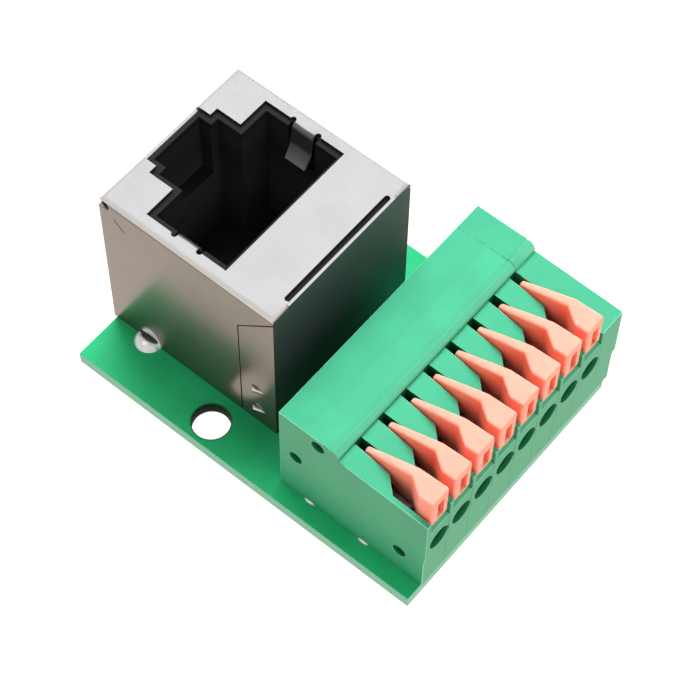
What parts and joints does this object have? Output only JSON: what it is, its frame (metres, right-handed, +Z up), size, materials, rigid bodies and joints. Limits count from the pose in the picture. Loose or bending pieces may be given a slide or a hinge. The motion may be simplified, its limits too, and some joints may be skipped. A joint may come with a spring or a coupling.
{
  "type": "ethernet breakout board",
  "caption": "Green circuit board with a shielded top-entry network jack wired to a row of sprung push-lever wire terminals.",
  "frame": {"origin": "centre of the footprint, at the plane of the solder tips that the board stands on", "axes": "+X from the jack to the wire entries, +Y along the row of poles, +Z up through the plug entry"},
  "size_m": [0.0324, 0.0242, 0.0185],
  "materials": {
    "board": "gloss solder mask",
    "shield": "satin nickel plate",
    "housing": "satin black",
    "contacts": "gold plate",
    "block": "satin green",
    "levers": "satin salmon",
    "springs": "bright steel",
    "bars": "bright tin plate",
    "solder": "bright solder"
  },
  "bodies": {
    "board_assembly": {"pcb": "board", "jack_shield": "shield", "jack_housing": "housing", "contact_carrier": "housing", "jack_contact_1": "contacts", "jack_contact_2": "contacts", "jack_contact_3": "contacts", "jack_contact_4": "contacts", "jack_contact_5": "contacts", "jack_contact_6": "contacts", "jack_contact_7": "contacts", "jack_contact_8": "contacts", "terminal_slice_1": "block", "terminal_slice_2": "block", "terminal_slice_3": "block", "terminal_slice_4": "block", "terminal_slice_5": "block", "terminal_slice_6": "block", "terminal_slice_7": "block", "terminal_slice_8": "block", "end_cover": "block", "clamp_spring_1": "springs", "clamp_spring_2": "springs", "clamp_spring_3": "springs", "clamp_spring_4": "springs", "clamp_spring_5": "springs", "clamp_spring_6": "springs", "clamp_spring_7": "springs", "clamp_spring_8": "springs", "contact_bar_1": "bars", "contact_bar_2": "bars", "contact_bar_3": "bars", "contact_bar_4": "bars", "contact_bar_5": "bars", "contact_bar_6": "bars", "contact_bar_7": "bars", "contact_bar_8": "bars", "jack_solder": "solder", "shield_solder": "solder", "terminal_solder": "solder"},
    "lever_1": {"lever_1": "levers"},
    "lever_2": {"lever_2": "levers"},
    "lever_3": {"lever_3": "levers"},
    "lever_4": {"lever_4": "levers"},
    "lever_5": {"lever_5": "levers"},
    "lever_6": {"lever_6": "levers"},
    "lever_7": {"lever_7": "levers"},
    "lever_8": {"lever_8": "levers"}
  },
  "joints": [
    {"name": "lever_1_press", "type": "hinge", "parent": "board_assembly", "child": "lever_1", "pos_m": [0.00966, -0.00914, 0.0107], "axis": [0, 1, 0], "range_deg": [0, 4.2], "stiffness_Nm_per_rad": 0.04, "springref_deg": -6.88, "deforming": ["clamp_spring_1"]},
    {"name": "lever_2_press", "type": "hinge", "parent": "board_assembly", "child": "lever_2", "pos_m": [0.00966, -0.0066, 0.0107], "axis": [0, 1, 0], "range_deg": [0, 4.2], "stiffness_Nm_per_rad": 0.04, "springref_deg": -6.88, "deforming": ["clamp_spring_2"]},
    {"name": "lever_3_press", "type": "hinge", "parent": "board_assembly", "child": "lever_3", "pos_m": [0.00966, -0.00406, 0.0107], "axis": [0, 1, 0], "range_deg": [0, 4.2], "stiffness_Nm_per_rad": 0.04, "springref_deg": -6.88, "deforming": ["clamp_spring_3"]},
    {"name": "lever_4_press", "type": "hinge", "parent": "board_assembly", "child": "lever_4", "pos_m": [0.00966, -0.00152, 0.0107], "axis": [0, 1, 0], "range_deg": [0, 4.2], "stiffness_Nm_per_rad": 0.04, "springref_deg": -6.88, "deforming": ["clamp_spring_4"]},
    {"name": "lever_5_press", "type": "hinge", "parent": "board_assembly", "child": "lever_5", "pos_m": [0.00966, 0.00102, 0.0107], "axis": [0, 1, 0], "range_deg": [0, 4.2], "stiffness_Nm_per_rad": 0.04, "springref_deg": -6.88, "deforming": ["clamp_spring_5"]},
    {"name": "lever_6_press", "type": "hinge", "parent": "board_assembly", "child": "lever_6", "pos_m": [0.00966, 0.00356, 0.0107], "axis": [0, 1, 0], "range_deg": [0, 4.2], "stiffness_Nm_per_rad": 0.04, "springref_deg": -6.88, "deforming": ["clamp_spring_6"]},
    {"name": "lever_7_press", "type": "hinge", "parent": "board_assembly", "child": "lever_7", "pos_m": [0.00966, 0.0061, 0.0107], "axis": [0, 1, 0], "range_deg": [0, 4.2], "stiffness_Nm_per_rad": 0.04, "springref_deg": -6.88, "deforming": ["clamp_spring_7"]},
    {"name": "lever_8_press", "type": "hinge", "parent": "board_assembly", "child": "lever_8", "pos_m": [0.00966, 0.00864, 0.0107], "axis": [0, 1, 0], "range_deg": [0, 4.2], "stiffness_Nm_per_rad": 0.04, "springref_deg": -6.88, "deforming": ["clamp_spring_8"]}
  ]
}
